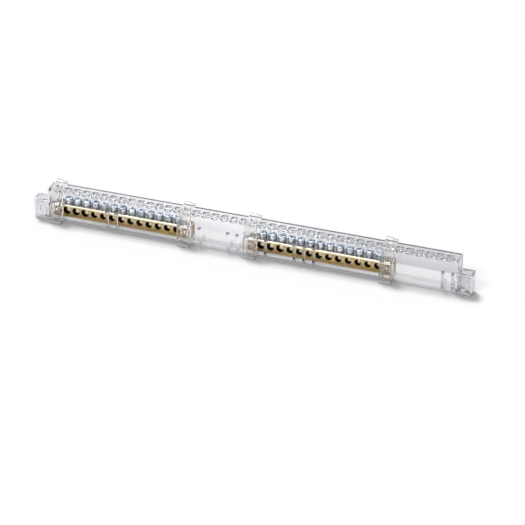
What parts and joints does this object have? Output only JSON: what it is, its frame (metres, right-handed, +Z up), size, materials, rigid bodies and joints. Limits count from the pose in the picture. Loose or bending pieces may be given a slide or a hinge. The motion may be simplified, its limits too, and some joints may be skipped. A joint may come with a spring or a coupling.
{
  "type": "terminal block",
  "caption": "Terminal block of brass terminal bars with raised clamp screws, held in a long clear snap-in support.",
  "frame": {"origin": "middle of the footprint, on the surface that the support stands on", "axes": "+X along the support towards its empty end, +Y from the wire side to the closed rear wall, +Z up"},
  "size_m": [0.299, 0.0162, 0.0257],
  "materials": {
    "clear_polycarbonate": "clear, polished moulding",
    "brass": "bright extruded and drilled",
    "zinc_plated_steel": "blue zinc plating"
  },
  "bodies": {
    "root": {"support_housing": "clear_polycarbonate", "brass_bar_left": "brass", "brass_bar_right": "brass", "large_screws_left": "zinc_plated_steel", "large_screws_right": "zinc_plated_steel", "terminal_screws_left": "zinc_plated_steel", "terminal_screws_right": "zinc_plated_steel", "bar_clip_1": "clear_polycarbonate", "bar_clip_2": "clear_polycarbonate", "bar_clip_3": "clear_polycarbonate", "bar_clip_4": "clear_polycarbonate"}
  },
  "joints": []
}
